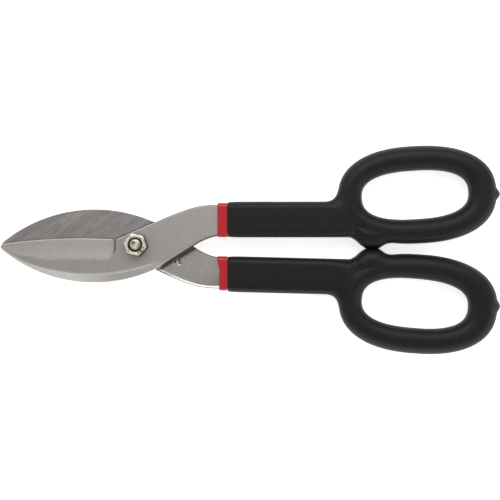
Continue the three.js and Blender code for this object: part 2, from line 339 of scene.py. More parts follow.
def net_points(value):
    """Which cells the surface crosses, and the mean of its crossings in each, in cells."""
    cells = tuple(n - 1 for n in value.shape)
    total = np.zeros(cells + (3,))
    count = np.zeros(cells)
    for axis in range(3):
        first, second = neighbours(value, axis)
        crosses = (first < 0) != (second < 0)
        share = np.where(crosses, first / np.where(crosses, first - second, 1.0), 0.0)
        side_a, side_b = (a for a in range(3) if a != axis)
        for da, db in ((0, 0), (0, 1), (1, 0), (1, 1)):
            window = [slice(None)] * 3
            window[side_a] = slice(da, da + cells[side_a])
            window[side_b] = slice(db, db + cells[side_b])
            window = tuple(window)
            offset = np.zeros(cells + (3,))
            offset[..., axis] = share[window]
            offset[..., side_a] = da
            offset[..., side_b] = db
            total += offset * crosses[window][..., None]
            count += crosses[window]
    active = count > 0
    corner = np.stack(np.meshgrid(*(np.arange(n) for n in cells), indexing="ij"), -1)
    return active, corner[active] + total[active] / count[active][:, None]


def net_quads(value, number):
    """A quad round every step that the surface crosses, joining the points of four cells."""
    quads = []
    for axis in range(3):
        first, second = neighbours(value, axis)
        side_a, side_b = (axis + 1) % 3, (axis + 2) % 3
        at = np.argwhere((first < 0) != (second < 0))
        across = at[:, [side_a, side_b]]
        limit = (number.shape[side_a], number.shape[side_b])
        at = at[((across > 0) & (across < limit)).all(axis=1)]
        ring = []
        for da, db in ((-1, -1), (0, -1), (0, 0), (-1, 0)):
            cell = at.copy()
            cell[:, side_a] += da
            cell[:, side_b] += db
            ring.append(number[tuple(cell.T)])
        ring = np.column_stack(ring)
        inward = first[tuple(at.T)] >= 0
        ring[inward] = ring[inward][:, ::-1]
        quads.append(ring)
    return np.vstack(quads)


def settle(points, plan, solid):
    """Moves points onto the surface along its slope."""
    reach, least_slope = 0.02, 0.2

    def field(p):
        return solid(plan(p[:, :2]), p[:, 0], p[:, 1], p[:, 2])

    for _ in range(3):
        value = field(points)
        slope = np.column_stack([(field(points + reach * axis) - value) / reach
                                 for axis in np.eye(3)])
        square = np.maximum((slope ** 2).sum(1), least_slope)
        points = points - slope * (value / square)[:, None]
    return points


def surface_net(plan, solid, low, high, step):
    """Vertices and quads of the surface where solid(plan value, u, v, w) is zero.

    plan gives a value for each point of the plane, and solid builds on it in height.
    """
    u, v, w = (np.arange(a, b + step, step) for a, b in zip(low, high))
    flat = np.stack(np.meshgrid(u, v, indexing="ij"), -1)
    plan_value = plan(flat.reshape(-1, 2)).reshape(len(u), len(v), 1)
    value = solid(plan_value, u[:, None, None], v[None, :, None], w[None, None, :])
    active, points = net_points(value)
    number = np.full(active.shape, -1)
    number[active] = np.arange(active.sum())
    return settle(points * step + np.array(low), plan, solid), net_quads(value, number)


# ---- materials ----------------------------------------------------------------------------------

COLOUR_A, COLOUR_B, COLOUR_RESULT = 6, 7, 2  # the Mix node's sockets for colours


class Nodes:
    """A material's node tree, with short calls for the nodes used here."""

    def __init__(self, name):
        self.material = bpy.data.materials.new(name)
        self.material.use_nodes = True
        self.tree = self.material.node_tree
        self.shader = self.tree.nodes["Principled BSDF"]

    def add(self, kind, **settings):
        node = self.tree.nodes.new(kind)
        for key, value in settings.items():
            setattr(node, key, value)
        return node

    def join(self, source, target):
        self.tree.links.new(source, target)

    def position(self, turn_degrees=0.0, stretch=(1.0, 1.0, 1.0)):
        """Object coordinates in metres, turned about Z and stretched."""
        turned = self.add("ShaderNodeMapping")
        turned.inputs["Rotation"].default_value = (0, 0, math.radians(turn_degrees))
        self.join(self.add("ShaderNodeTexCoord").outputs["Object"], turned.inputs["Vector"])
        scaled = self.add("ShaderNodeMapping")
        scaled.inputs["Scale"].default_value = stretch
        self.join(turned.outputs["Vector"], scaled.inputs["Vector"])
        return scaled.outputs["Vector"]

    def noise(self, scale, detail=3.0, roughness=0.55, vector=None):
        """Noise with about scale features to a metre."""
        node = self.add("ShaderNodeTexNoise")
        node.inputs["Scale"].default_value = scale
        node.inputs["Detail"].default_value = detail
        node.inputs["Roughness"].default_value = roughness
        self.join(vector or self.position(), node.inputs["Vector"])
        return node.outputs["Fac"]

    def span(self, value, low, high, to_low=0.0, to_high=1.0):
        """Maps low..high of a value to to_low..to_high, held at the ends."""
        node = self.add("ShaderNodeMapRange")
        for key, number in (("From Min", low), ("From Max", high),
                            ("To Min", to_low), ("To Max", to_high)):
            node.inputs[key].default_value = number
        self.join(value, node.inputs["Value"])
        return node.outputs["Result"]

    def math(self, operation, a, b):
        """An operation on two values, each a socket or a number."""
        node = self.add("ShaderNodeMath", operation=operation)
        for socket, value in zip(node.inputs, (a, b)):
            if isinstance(value, (int, float)):
                socket.default_value = value
            else:
                self.join(value, socket)
        return node.outputs["Value"]

    def mix(self, factor, a, b):
        """Mixes two colours, each a socket or an (r, g, b)."""
        node = self.add("ShaderNodeMix", data_type="RGBA")
        sockets = (node.inputs["Factor"], node.inputs[COLOUR_A], node.inputs[COLOUR_B])
        for socket, value in zip(sockets, (factor, a, b)):
            if isinstance(value, tuple):
                socket.default_value = (*value, 1.0)
            elif isinstance(value, (int, float)):
                socket.default_value = value
            else:
                self.join(value, socket)
        return node.outputs[COLOUR_RESULT]

    def attribute(self, name):
        """A number given to each vertex by add_attribute."""
        return self.add("ShaderNodeAttribute", attribute_name=name).outputs["Fac"]

    def bump(self, height, strength, distance, under=None):
        """Bumps of a height, laid over those of another bump if one is given."""
        node = self.add("ShaderNodeBump")
        node.inputs["Strength"].default_value = strength
        node.inputs["Distance"].default_value = distance
        self.join(height, node.inputs["Height"])
        if under is not None:
            self.join(under, node.inputs["Normal"])
        return node.outputs["Normal"]

    def finish(self, colour, roughness, normal, **constants):
        """Joins the shader's inputs; constants are named after its sockets, _ for a space."""
        for socket, value in (("Base Color", colour), ("Roughness", roughness),
                              ("Normal", normal)):
            self.join(value, self.shader.inputs[socket])
        for key, value in constants.items():
            self.shader.inputs[key.replace("_", " ")].default_value = value
        return self.material


def forged_steel():
    """Blasted forging with a ground bevel, a chamfered back and a brushed shear face; wear and
    painted highlights lighten it, and painted shade darkens it.
    """
    n = Nodes("forged_steel")
    grain = n.noise(2600.0, 3.0, 0.6)
    speckle = n.noise(1100.0, 3.0, 0.6)
    mottle = n.noise(150.0, 3.0, 0.5)
    cloud = n.noise(30.0, 2.0, 0.5)
    streak = n.noise(120.0, 5.0, 0.7, n.position(-33.0, (1.0, 22.0, 1.0)))
    hairline = n.noise(500.0, 3.0, 0.7, n.position(-38.0, (1.0, 25.0, 1.0)))
    broad = n.noise(28.0, 2.0, 0.5, n.position(-34.0, (1.0, 8.0, 1.0)))
    ground = n.attribute("ground")
    chamfer = n.attribute("chamfer")
    brushed = n.attribute("brushed")
    wear_and_highlight = n.attribute("wear_and_highlight")
    shade = n.attribute("shade")

    blasted = n.mix(n.span(mottle, 0.3, 0.7), (0.435, 0.408, 0.384), (0.465, 0.437, 0.412))
    pitted, sparkling = (0.35, 0.327, 0.306), (0.58, 0.55, 0.52)
    blasted = n.mix(n.span(speckle, 0.35, 0.7, 0.0, 0.5), blasted, pitted)
    blasted = n.mix(n.span(grain, 0.5, 0.75, 0.0, 0.5), blasted, sparkling)

    lines = n.mix(n.span(streak, 0.38, 0.62), (0.225, 0.213, 0.208), (0.47, 0.443, 0.43))
    fine_scratch, dull_patch = (0.58, 0.548, 0.532), (0.235, 0.222, 0.217)
    lines = n.mix(n.span(hairline, 0.42, 0.68, 0.0, 0.5), lines, fine_scratch)
    lines = n.mix(n.span(broad, 0.4, 0.65, 0.0, 0.4), lines, dull_patch)

    honed = n.mix(0.7, blasted, (0.275, 0.254, 0.237))
    warm_patch = (0.320, 0.272, 0.252)
    honed = n.mix(n.span(cloud, 0.42, 0.62, 0.0, 0.4), honed, warm_patch)

    # painted highlight: the chamfer along the back is drawn much paler than the blasted flat
    painted_chamfer_light = n.mix(0.7, blasted, (0.92, 0.90, 0.87))
    painted_chamfer_light = n.mix(n.span(speckle, 0.45, 0.65, 0.0, 0.35), painted_chamfer_light, (0.48, 0.46, 0.435))

    # the pale tone is used both for wear on the edges and for painted highlights
    wear_and_highlight_tone, painted_shade = (0.86, 0.845, 0.82), (0.045, 0.042, 0.04)
    colour = n.mix(ground, blasted, honed)
    colour = n.mix(chamfer, colour, painted_chamfer_light)
    colour = n.mix(brushed, colour, lines)
    colour = n.mix(wear_and_highlight, colour, wear_and_highlight_tone)
    # painted shade: the shade attribute draws every shadow, shaded edge and recess of the forging
    # in this dark tone
    colour = n.mix(shade, colour, painted_shade)

    rough = n.span(speckle, 0.3, 0.7, 0.46, 0.60)
    smooth = n.math("MAXIMUM", n.math("MULTIPLY", wear_and_highlight, 1.5), brushed)
    rough = n.math("SUBTRACT", rough, n.math("MULTIPLY", smooth, 0.12))
    blast_bump = n.bump(n.math("ADD", grain, speckle), 0.45, 0.00012)
    line_bump = n.bump(n.math("MULTIPLY", streak, brushed), 0.3, 0.0001, blast_bump)
    return n.finish(colour, rough, line_bump, Metallic=1.0)


def plated_steel():
    """Bright plating with a faint yellow cast. Painted shade darkens its recesses and the nut's
    side walls; the same tones draw dark flecks and an olive stain.
    """
    n = Nodes("plated_steel")
    cloud = n.noise(420.0, 4.0, 0.65)
    scratch = n.noise(520.0, 4.0, 0.7, n.position(25.0, (1.0, 9.0, 1.0)))
    tint = n.noise(150.0, 2.0, 0.5)
    shade = n.attribute("shade")
    stain, olive, fleck_and_shade_black = (0.20, 0.18, 0.13), (0.31, 0.285, 0.17), (0.040, 0.032, 0.014)
    colour = n.mix(n.span(tint, 0.4, 0.6), (0.92, 0.89, 0.83), (0.84, 0.81, 0.71))
    colour = n.mix(n.span(cloud, 0.55, 0.66, 0.0, 0.8), colour, stain)
    # the shade attribute carries painted shade as well as real flecks and stains
    colour = n.mix(n.span(shade, 0.0, 0.6), colour, olive)
    colour = n.mix(n.span(shade, 0.45, 1.0), colour, fleck_and_shade_black)
    rough = n.span(scratch, 0.3, 0.7, 0.24, 0.36)
    normal = n.bump(scratch, 0.12, 0.0001, n.bump(cloud, 0.3, 0.0003))
    return n.finish(colour, rough, normal, Metallic=0.6)


def vinyl(name, dark, light, rough_range, skin, gloss):
    """Dipped vinyl: faint ripples, a pebbled skin, fine pores and a little dust."""
    n = Nodes(name)
    wave = n.noise(45.0, 2.0, 0.5)
    pebble = n.noise(420.0, 3.0, 0.6)
    pore = n.noise(1400.0, 3.0, 0.6)
    dust = n.noise(800.0, 4.0, 0.7)
    colour = n.mix(n.span(dust, 0.5, 0.75), dark, light)
    rough = n.span(dust, 0.35, 0.7, *rough_range)
    normal = n.bump(pebble, skin, 0.0002, n.bump(wave, 0.12, 0.001))
    normal = n.bump(pore, 0.6 * skin, 0.0001, normal)
    return n.finish(colour, rough, normal, Specular_IOR_Level=gloss)


STEEL = forged_steel()
PLATED = plated_steel()
BLACK = vinyl("black_vinyl", (0.0045, 0.0045, 0.0054), (0.017, 0.017, 0.019),
              rough_range=(0.42, 0.56), skin=0.55, gloss=0.28)
RED = vinyl("red_vinyl", (0.46, 0.010, 0.018), (0.50, 0.013, 0.022),
            rough_range=(0.20, 0.26), skin=0.06, gloss=0.5)


# ---- forging ------------------------------------------------------------------------------------

heel_line = through(HEEL)
top_line = through(TOP)
chamfer_width = through(CHAMFER_WIDTH)


def greatest(*values):
    """The greatest of several values, point by point."""
    return functools.reduce(np.maximum, values)


def back_edge(u):
    """The blade's back, an arc that runs into the shank's heel line."""
    arc = BACK_CENTRE[1] - np.sqrt(np.maximum(BACK_RADIUS ** 2 - (u - BACK_CENTRE[0]) ** 2, 0))
    return np.where(u < BACK_END_U, arc, heel_line(u))


def cutting_edge(u):
    """The cutting edge, slightly crowned between its tip and its heel."""
    t = (u - EDGE_TIP[0]) / (EDGE_HEEL[0] - EDGE_TIP[0])
    chord = EDGE_TIP[1] + t * (EDGE_HEEL[1] - EDGE_TIP[1])
    return chord + 4.0 * EDGE_CROWN * t * (1.0 - t)


def upper_edge(u):
    """The cutting edge, and behind it the upper side of the boss and the shank."""
    return np.where(u < EDGE_HEEL[0], cutting_edge(u), top_line(u))


def outline(u):
    """Lower and upper edge of the forging at u, closed round the blunt point."""
    low, high = back_edge(u), upper_edge(u)
    middle = (low + high) / 2
    back = np.clip((POINT_U + NOSE_LENGTH - u) / NOSE_LENGTH, 0.0, 1.0)
    half = (high - low) / 2 * np.sqrt(1.0 - back ** 2)
    return middle - half, middle + half


def past_shoulder(u, v):
    """Distance along the tool past the shoulder: straight down, then curving to the blade."""
    curve = SHOULDER_CURVE * np.maximum(SHOULDER_CURVE_V - v, 0.0) ** SHOULDER_POWER
    return u - (EDGE_HEEL[0] - curve)


def on_blade(u, v):
    """1 on the ground blade and 0 past its shoulder, which softens away from the edge."""
    softness = 0.6 + 0.45 * np.maximum(-3.0 - v, 0.0)
    return 1.0 - smoothstep(past_shoulder(u, v), -softness, 0.05)


def flat_height(u):
    """The outer face where it is neither ground nor chamfered, thinner towards the point."""
    return FORGING_HALF - TAPER_SLOPE * np.maximum(TAPER_START_U - u, 0.0)


def bevel_height(u, v):
    """The plane of the ground bevel, rising from the cutting edge."""
    slope = (FORGING_HALF - EDGE_THICKNESS) / (EDGE_HEEL[1] - BEVEL_FOOT_V)
    edge = cutting_edge(np.minimum(u, EDGE_HEEL[0]))
    return EDGE_THICKNESS + slope * np.maximum(edge - v, 0)


def inside_chamfer(u, v, low):
    """Distance in from the line where the chamfer along the back begins."""
    from_back = BACK_RADIUS - np.hypot(u - BACK_CENTRE[0], v - BACK_CENTRE[1])
    from_back = np.where(u < BACK_END_U, from_back, HEEL_COS * (v - low))
    return chamfer_width(u) - from_back


def chamfer_share(u):
    """1 along the blade's back, fading out along the shank."""
    return 1.0 - smoothstep(u, 14.0, 42.0)


def outer_face(u, v, low):
    """Height of the outer face: flat, with the blade ground and the back chamfered."""
    flat, bevel, blade = flat_height(u), bevel_height(u, v), on_blade(u, v)
    # the bevel sweeps up a little just before the shoulder
    fillet = 0.16 * smoothstep(past_shoulder(u, v), -4.0, -0.4) ** 2
    ground = smooth_min(bevel + np.maximum(flat - bevel, 0.0) * fillet, flat, 0.22)
    drop = smooth_max(CHAMFER_SLOPE * inside_chamfer(u, v, low), 0.0, 0.1) * chamfer_share(u)
    return ground * blade + flat * (1.0 - blade) - drop


def beyond_heel(u, v):
    """Distance past the other lever's heel line, where the inner face leaves the shear plane."""
    along, across = u - HEEL[0][0], v + HEEL[0][1]
    return along * math.sin(HEEL_ANGLE) + across * math.cos(HEEL_ANGLE)


def thickening(u, v):
    """Share of the bar's lower half that is there: none on the blade, a low step, a slow rise."""
    past = beyond_heel(u, v) - (0.45 + 0.9 * (1.0 - smoothstep(u, 13.0, 18.0)))
    step = 1.0 - (1.0 - np.clip(past / STEP_RUN, 0.0, 1.0)) ** 2.0
    rise = 1.0 - (1.0 - np.clip(past / RISE_RUN, 0.0, 1.0)) ** 1.4
    return STEP_SHARE * step + (1.0 - STEP_SHARE) * rise


def rounded(distance, radius):
    """Loss of height at a distance from a rounded edge."""
    inside = np.clip(radius - distance, 0.0, radius)
    return radius - np.sqrt(np.maximum(radius ** 2 - inside ** 2, 0.0))


def edge_radius(u):
    """Rounding of the upper edge: crisp at the cutting edge, full on the shank."""
    return 0.13 + 0.5 * smoothstep(u, -14.0, -9.0) + 0.4 * smoothstep(u, 5.0, 18.0)


def back_radius(u):
    """Rounding of the lower edge: small along the back, full on the shank."""
    return 0.22 + 1.4 * smoothstep(u, 6.0, 19.0)


def punch_marks(u, v, side):
    """Depth of three plain punch marks in the rear shank's inner face."""
    depth = np.zeros_like(u)
    if side["turn"] < 0:
        for centre_u, centre_v in PUNCH_CENTRES:
            away = (u - centre_u) ** 2 + (v - centre_v) ** 2
            depth = depth + PUNCH_DEPTH * np.exp(-away / PUNCH_SPREAD)
    return depth


def nut_wall(angle):
    """Distance from the pivot's axis to the nut's flats."""
    off = (angle - NUT_TURN + SIXTH / 2) % SIXTH - SIXTH / 2
    return NUT_FLATS / np.cos(SIXTH / 2 - np.abs(off))


def nut_foot_shadow(u, v, side):
    """Painted shadow round the foot of the nut, on the face it bears on, deeper to its lower
    right.
    """
    if side["turn"] < 0:
        return np.zeros_like(u)
    x, y = u - PIVOT[0], v + MIRROR_Y - PIVOT[1]
    away = np.hypot(x, y) - nut_wall(np.arctan2(y, x))
    weight = 0.6 + 0.25 * (x - y) / np.hypot(x, y).clip(0.1)
    return weight * np.exp(-(np.maximum(away, 0.0) / 0.8) ** 2)


def edge_contact_shadow(u, v):
    """Painted contact shadow along where the other blade's edge lies while the snips are shut."""
    lean = np.where(u < EDGE_HEEL[0], 1.0, BOSS_COS)
    gap = (-upper_edge(u) - v) * lean
    weight = 0.28 + 0.62 * smoothstep(u, EDGE_HEEL[0] - 2.0, EDGE_HEEL[0] + 1.0)
    return weight * np.exp(-((gap - 0.2) / 0.65) ** 2) * (u > POINT_U + 2.0) * (u < 16.0)


def blade_rim(u, from_low, from_high):
    """Bright wear on the blade's edges."""
    near = np.minimum(from_low, from_high)
    return 0.4 * (1.0 - smoothstep(near, 0.1, 0.7)) * (1.0 - smoothstep(u, 6.0, 16.0))


def heel_edge_shade(u, from_low):
    """Painted shade on the rounded edge along the lower side of the shank."""
    return (1.0 - smoothstep(from_low, 0.2, 1.1)) * smoothstep(u, 13.0, 18.0)


def outer_marks(u, v, low, from_low, from_high, side):
    """How far the outer face is ground, chamfered, brushed, lightened by wear and painted
    highlights, and darkened by painted shade.

    Wear shows on the blade's edges. A painted highlight makes the chamfer paler and runs along the
    line where it begins. Painted shade darkens the step at the shoulder, the shank's rounded
    edges, the foot of the nut and, faintly, the flat.
    """
    ground = smoothstep(flat_height(u) - bevel_height(u, v), -0.15, 0.30) * on_blade(u, v)
    ground = ground * (0.6 + 0.4 * smoothstep(v, -7.0, 1.5))
    inside = inside_chamfer(u, v, low)
    # painted highlight on the chamfer, fading out towards the shank
    chamfer = smoothstep(inside, 0.0, 0.25) * chamfer_share(u)
    chamfer = chamfer * (0.9 - 0.9 * smoothstep(u, -45.0, -6.0))
    # painted highlight along the line where the chamfer begins
    ridge_highlight = np.exp(-(inside / 0.5) ** 2) * (1.0 - smoothstep(u, 4.0, 15.0))
    ridge_highlight = ridge_highlight * (0.45 * smoothstep(u, -66.0, -48.0) + 0.5 * smoothstep(u, -40.0, -15.0))
    # painted shade in the step at the shoulder
    shoulder = np.exp(-((past_shoulder(u, v) + 0.3) / 0.62) ** 2) * smoothstep(v, -6.5, -2.0)
    # painted shade that dulls the rounded upper edge of the shank
    top_edge_shade = (1.0 - smoothstep(from_high, 0.2, 0.9)) * smoothstep(u, 6.0, 16.0)
    # painted shade, faint, over the blade's unground flat, fading out past the boss
    flat_shade = (1.0 - ground) * (1.0 - smoothstep(u, -20.0, 12.0))
    return {
        "ground": ground,
        "chamfer": chamfer,
        "brushed": np.zeros_like(u),
        "wear_and_highlight": np.maximum(blade_rim(u, from_low, from_high), ridge_highlight),
        "shade": greatest(0.85 * shoulder, 0.9 * heel_edge_shade(u, from_low), 0.5 * top_edge_shade,
                          0.07 * flat_shade, nut_foot_shadow(u, v, side)),
    }


def inner_marks(u, v, from_low, from_high, side):
    """The same marks on the inner face: brushed where the blades slide, blasted beyond.

    Wear shows on the blade's edges. Painted highlights lie on the lit lip of each punch mark and
    on a strip beside the shank's upper edge. Painted shade darkens the heel line and the shank
    beyond it, a line along the other blade's edge, the punch marks and the narrow rim outside that
    strip.
    """
    beyond = beyond_heel(u, v)
    brushed = 1.0 - smoothstep(beyond, 0.1, 0.6)
    # painted shade over the shank beyond the heel line, deepest near it
    shank_shade = (0.27 + 0.18 * np.exp(-np.maximum(beyond, 0.0) / 10.0)) * (1.0 - brushed)
    # painted contact shadow along the heel line, fading away from it
    heel_shadow = np.exp(-np.maximum(beyond - 0.4, 0.0) / 1.4) * smoothstep(u, 8.0, 12.0)
    on_shank = smoothstep(u, 12.5, 14.5)
    # painted highlight on the strip beside the shank's upper edge, where its rounding catches the
    # low light
    edge_highlight = smoothstep(from_high, 0.4, 0.65) * (1.0 - smoothstep(from_high, 1.5, 1.95)) * on_shank
    # painted shade on the narrow rim outside that strip
    outer_rim_shade = (1.0 - smoothstep(from_high, 0.35, 0.6)) * on_shank
    # painted shade in the punch marks
    painted_shade = np.clip(1.4 * punch_marks(u, v, side), 0, 1)
    # painted highlight on one side of each punch mark
    glint = punch_marks(u + 0.3, v - 0.9, side)  # the lit lip of each punch mark
    inner_shade = greatest(0.36 * heel_shadow, edge_contact_shadow(u, v), 0.8 * painted_shade, shank_shade) * (1.0 - edge_highlight)
    zero = np.zeros_like(u)
    return {
        "ground": zero,
        "chamfer": zero,
        "brushed": brushed,
        "wear_and_highlight": greatest(0.5 * blade_rim(u, from_low, from_high), edge_highlight, glint),
        "shade": greatest(inner_shade, 0.7 * outer_rim_shade, 0.75 * heel_edge_shade(u, from_low)),
    }


def plan_grid():
    """Points of the forging seen from above, one row per cross-section, and both its edges."""
    blade_u = np.arange(POINT_U + 0.02, BAR_SECTIONS_U - 2.0, 0.4)
    near_shoulder = np.arange(EDGE_HEEL[0] - 1.0, EDGE_HEEL[0] + 0.4, 0.1)
    bar_u = np.arange(BAR_SECTIONS_U, CORE_END_U, 4.0)
    stations = np.unique(np.concatenate((blade_u, near_shoulder, bar_u)).round(3))
    even = np.linspace(0.0, 1.0, POINTS_ACROSS)
    across = 0.35 * even + 0.65 * (1.0 - np.cos(math.pi * even)) / 2  # closer at the edges
    u = np.repeat(stations[:, None], POINTS_ACROSS, axis=1)
    low, high = (edge[:, None] for edge in outline(stations))
    return u, low + (high - low) * across[None, :], low, high


def forging_grid(side):
    """Loft of cross-sections: over the outer face, then back along the inner one."""
    u, v, low, high = plan_grid()
    reach = 0.05  # the slope of each edge is taken over this distance
    low_next, high_next = (edge[:, None] for edge in outline(u[:, 0] + reach))
    from_low = (v - low) / np.hypot(1.0, np.clip((low_next - low) / reach, -3, 3))
    from_high = (high - v) / np.hypot(1.0, np.clip((high_next - high) / reach, -3, 3))

    top = outer_face(u, v, low)
    thick = thickening(u, v)
    under = INNER_W - (INNER_W + FORGING_HALF) * thick + punch_marks(u, v, side)
    room = np.maximum((top - under) / 2.2, 0.02)  # largest rounding the thickness allows
    top_loss = (rounded(from_low, np.minimum(back_radius(u), room))
                + rounded(from_high, np.minimum(edge_radius(u), room)))
    under_radius = np.minimum(0.12 + thick * 1.4, room)
    draft = smooth_max(DRAFT_SLOPE * (DRAFT_WIDTH - from_high), 0.0, 0.5) * thick
    upper_loss = np.where(u > SHANK_START_U, draft, rounded(from_high, under_radius))
    under_loss = rounded(from_low, under_radius) + upper_loss

    outer = np.stack((u, v, top - top_loss), -1)
    inner = np.stack((u, v, under + under_loss), -1)
    points = np.concatenate((outer, inner[:, ::-1]), axis=1)
    above = outer_marks(u, v, low, from_low, from_high, side)
    below = inner_marks(u, v, from_low, from_high, side)
    marks = {key: np.concatenate((above[key], below[key][:, ::-1]), axis=1) for key in above}
    return points, marks


def loop_core(side):
    """The steel ring inside the finger loop: a rounded bar swept round it."""
    outer = superellipse(side["loop"], CORE_INSET, 96)
    inner = superellipse(side["hole"], -CORE_INSET, 96)
    angle = np.linspace(0.0, 2.0 * math.pi, 16, endpoint=False)
    c, s = np.cos(angle), np.sin(angle)
    across = np.sign(c) * np.abs(c) ** 0.5
    height = FORGING_HALF * np.sign(s) * np.abs(s) ** 0.5
    middle, half = (outer + inner) / 2, (outer - inner) / 2
    plan = middle[:, None, :] + half[:, None, :] * across[None, :, None]
    tall = np.broadcast_to(height[None, :, None], (len(outer), len(angle), 1))
    return np.concatenate((plan, tall), axis=2)


def add_forging(name):
    """One lever's forging: blade, boss, shank and the bar and ring inside the grip."""
    side = SIDES[name]
    grid, marks = forging_grid(side)
    rows, columns = grid.shape[:2]
    faces = [tuple(f) for f in grid_faces(rows, columns, wrap_columns=True)]
    first_end, last_end = range(columns), range((rows - 1) * columns, rows * columns)
    faces += [tuple(first_end), tuple(last_end)[::-1]]
    ring = loop_core(side)
    ring_faces = grid_faces(*ring.shape[:2], wrap_rows=True, wrap_columns=True)
    faces += [tuple(f + rows * columns) for f in ring_faces]
    body = splay(grid.reshape(-1, 3), side, 5.0)
    core = splay(ring.reshape(-1, 3), side)
    points = place(np.vstack((body, core)), side)
    piece = add_mesh(f"{name}_forging", points, faces, STEEL)
    for key, values in marks.items():
        add_attribute(piece, key, np.concatenate((values.ravel(), np.zeros(len(core)))))
    bore(piece, PIVOT_BORE)
    return piece


# ---- grip and collar ----------------------------------------------------------------------------

BAR_MIDDLE, BAR_HALF = (BAR_LOW + BAR_HIGH) / 2, (BAR_HIGH - BAR_LOW) / 2


def stop_corners(side):
    """Outline of the closing stop, its face parallel to the other one once splayed."""
    start, end = STOP_FACE_U
    far_v = STOP_FACE_V - (end - start) * side["splay"]
    return np.array([(start, STOP_FACE_V), (end, far_v), *STOP_FLANKS])


def grip_plan(side):
    """The grip seen from above: bar, finger loop and stop melted together, less the hole."""
    loop = superellipse(side["loop"])
    hole = superellipse(side["hole"])
    stop = stop_corners(side)

    def plan(points):
        u, v = points.T
        lip = LIP_PROUD * np.exp(-(u - BAR_START) / LIP_LENGTH)
        bar = smooth_max(np.abs(v - BAR_MIDDLE) - BAR_HALF + lip, u - BAR_END, 2.0)
        fillet = 4.0 + 5.5 * smoothstep(v, 14.0, 26.0)  # wider on the outer side
        shape = smooth_min(bar, polygon_distance(points, loop), fillet)
        shape = smooth_min(shape, polygon_distance(points, stop), 2.6)
        return smooth_max(shape, -polygon_distance(points, hole), 0.8)

    return plan


def rounded_slab(plan_value, w, half, radius):
    """A flat outline raised to +-half, its rims rounded by radius."""
    a = plan_value + radius
    b = np.abs(w) - half + radius
    outside = np.hypot(np.maximum(a, 0.0), np.maximum(b, 0.0))
    return np.minimum(np.maximum(a, b), 0.0) + outside - radius


def grip_solid(side):
    """The grip in height: a rounded slab, thin at its mouth, with a drip nub at its far end."""
    start, end = side["collar_end"]
    nub_u = side["loop"]["u"] + side["loop"]["a"] + side["nub_proud"] - NUB_RADIUS

    def solid(plan_value, u, v, w):
        radius = 4.4 + 3.0 * smoothstep(u, 116.0, 134.0)
        half = GRIP_HALF - MOUTH_THINNING * np.exp(-(u - BAR_START) / MOUTH_LENGTH)
        slab = rounded_slab(plan_value, w, half, radius)
        drip = np.sqrt((u - nub_u) ** 2 + (v - NUB_V) ** 2 + (0.8 * w) ** 2) - NUB_RADIUS
        slab = smooth_min(slab, drip, 3.4)
        mouth = start + (end - start) * (v - BAR_LOW) / (BAR_HIGH - BAR_LOW)
        return smooth_max(slab, mouth - u, 0.9)

    return solid


def add_grip(name):
    """One lever's black grip."""
    side = SIDES[name]
    low = (BAR_START - 2.0, STOP_FACE_V - 2.0, -GRIP_HALF - 1.0)
    high = (226.0, 66.0, GRIP_HALF + 1.0)
    points, faces = surface_net(grip_plan(side), grip_solid(side), low, high, GRIP_CELL)
    return add_mesh(f"{name}_grip_skin", place(splay(points, side), side), faces, BLACK)


def collar_plan(points):
    """The collar seen from above: a strip a little inside the bar of the grip."""
    return np.abs(points[:, 1] - (BAR_MIDDLE - 0.33)) - (BAR_HALF - 0.47)


def collar_solid(side):
    """The collar in height: a rounded slab from its curved lip to a tail under the grip."""
    start, end = side["collar_start"]

    def solid(plan_value, u, v, w):
        tucked = 0.9 * smoothstep(u, BAR_START - 0.2, BAR_START + 1.3)
        slab = rounded_slab(plan_value + tucked, w, FORGING_HALF + COLLAR_PROUD, 2.6)
        run = (v - BAR_LOW) / (BAR_HIGH - BAR_LOW)
        lip = start + (end - start) * smoothstep(run, -0.05, 0.45)
        slab = smooth_max(slab, lip - u, 1.0)
        return smooth_max(slab, u - BAR_START - COLLAR_TAIL, 0.5)

    return solid


def add_collar(name):
    """One lever's red collar."""
    side = SIDES[name]
    low = (46.0, BAR_LOW - 2.0, -GRIP_HALF - 1.0)
    high = (BAR_START + COLLAR_TAIL + 2.0, BAR_HIGH + 2.0, GRIP_HALF + 1.0)
    points, faces = surface_net(collar_plan, collar_solid(side), low, high, COLLAR_CELL)
    return add_mesh(f"{name}_collar_band", place(splay(points, side), side), faces, RED)


# ---- pivot bolt and nut -------------------------------------------------------------------------

def thread(z, angle):
    """Depth of a V thread, 0 at its crest and 1 at its root."""
    phase = (z / THREAD_PITCH - angle / (2 * math.pi)) % 1.0
    return np.abs(2.0 * phase - 1.0)


def around(count):
    """Angles of a turned piece's sections, as a column."""
    return np.linspace(0.0, 2 * math.pi, count, endpoint=False)[:, None]


def profile_grids(columns, angle):
    """Radius, height and shade over angle and profile, from (radius, height, shade) columns.

    Each of the three is a number, or a value for every angle.
    """
    ring = np.zeros_like(angle)
    return [np.concatenate([value + ring for value in part], axis=1) for part in zip(*columns)]


def turned(name, radius, height, material, shades):
    """A turned piece from grids of radius and height over angle and profile."""
    angle = around(len(radius))
    points = np.stack((PIVOT[0] + radius * np.cos(angle), PIVOT[1] + radius * np.sin(angle),
                       height), -1).reshape(-1, 3) * MM
    faces = grid_faces(*radius.shape, wrap_rows=True, wrap_columns=True)
    piece = add_mesh(name, points, faces, material)
    add_attribute(piece, "shade", shades)
    return piece


